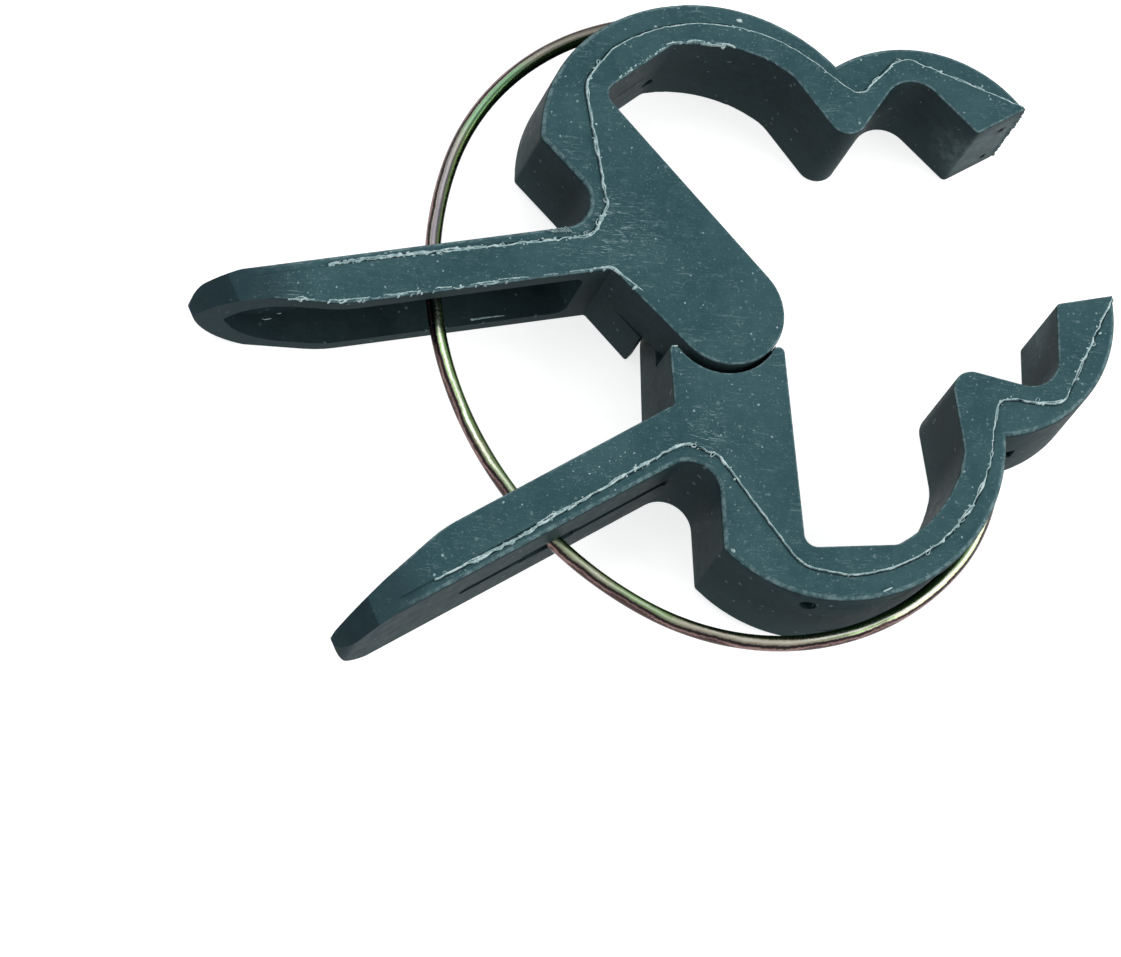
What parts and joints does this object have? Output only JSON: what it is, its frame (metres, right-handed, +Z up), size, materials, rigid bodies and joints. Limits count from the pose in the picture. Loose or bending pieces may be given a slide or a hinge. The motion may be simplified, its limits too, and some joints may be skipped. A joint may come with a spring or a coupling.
{
  "type": "spring clip",
  "caption": "Small spring clip: moulded jaws in a lap hinge, closed by an open wire ring, holding a tube or stem in rounded hoops.",
  "frame": {"origin": "the hinge axis, on the flat face that the clip lies on", "axes": "+X from the hinge to the jaw tips, +Y to the upper jaw, +Z up through the thickness, along the hinge axis"},
  "size_m": [0.059, 0.0458, 0.008],
  "materials": {
    "jaw_plastic": "satin, dark blue-green, with pale flash along the parting line",
    "spring_wire": "yellow zinc plating, bright, slightly iridescent"
  },
  "bodies": {
    "upper": {"upper_jaw": "jaw_plastic", "spring_ring": "spring_wire"},
    "lower": {"lower_jaw": "jaw_plastic"}
  },
  "joints": [
    {"name": "jaw_hinge", "type": "hinge", "parent": "upper", "child": "lower", "pos_m": [0, 0, 0.004], "axis": [0, 0, 1], "range_deg": [-24, 30], "stiffness_Nm_per_rad": 0.1, "springref_deg": 51.57, "deforming": ["spring_ring"]}
  ]
}
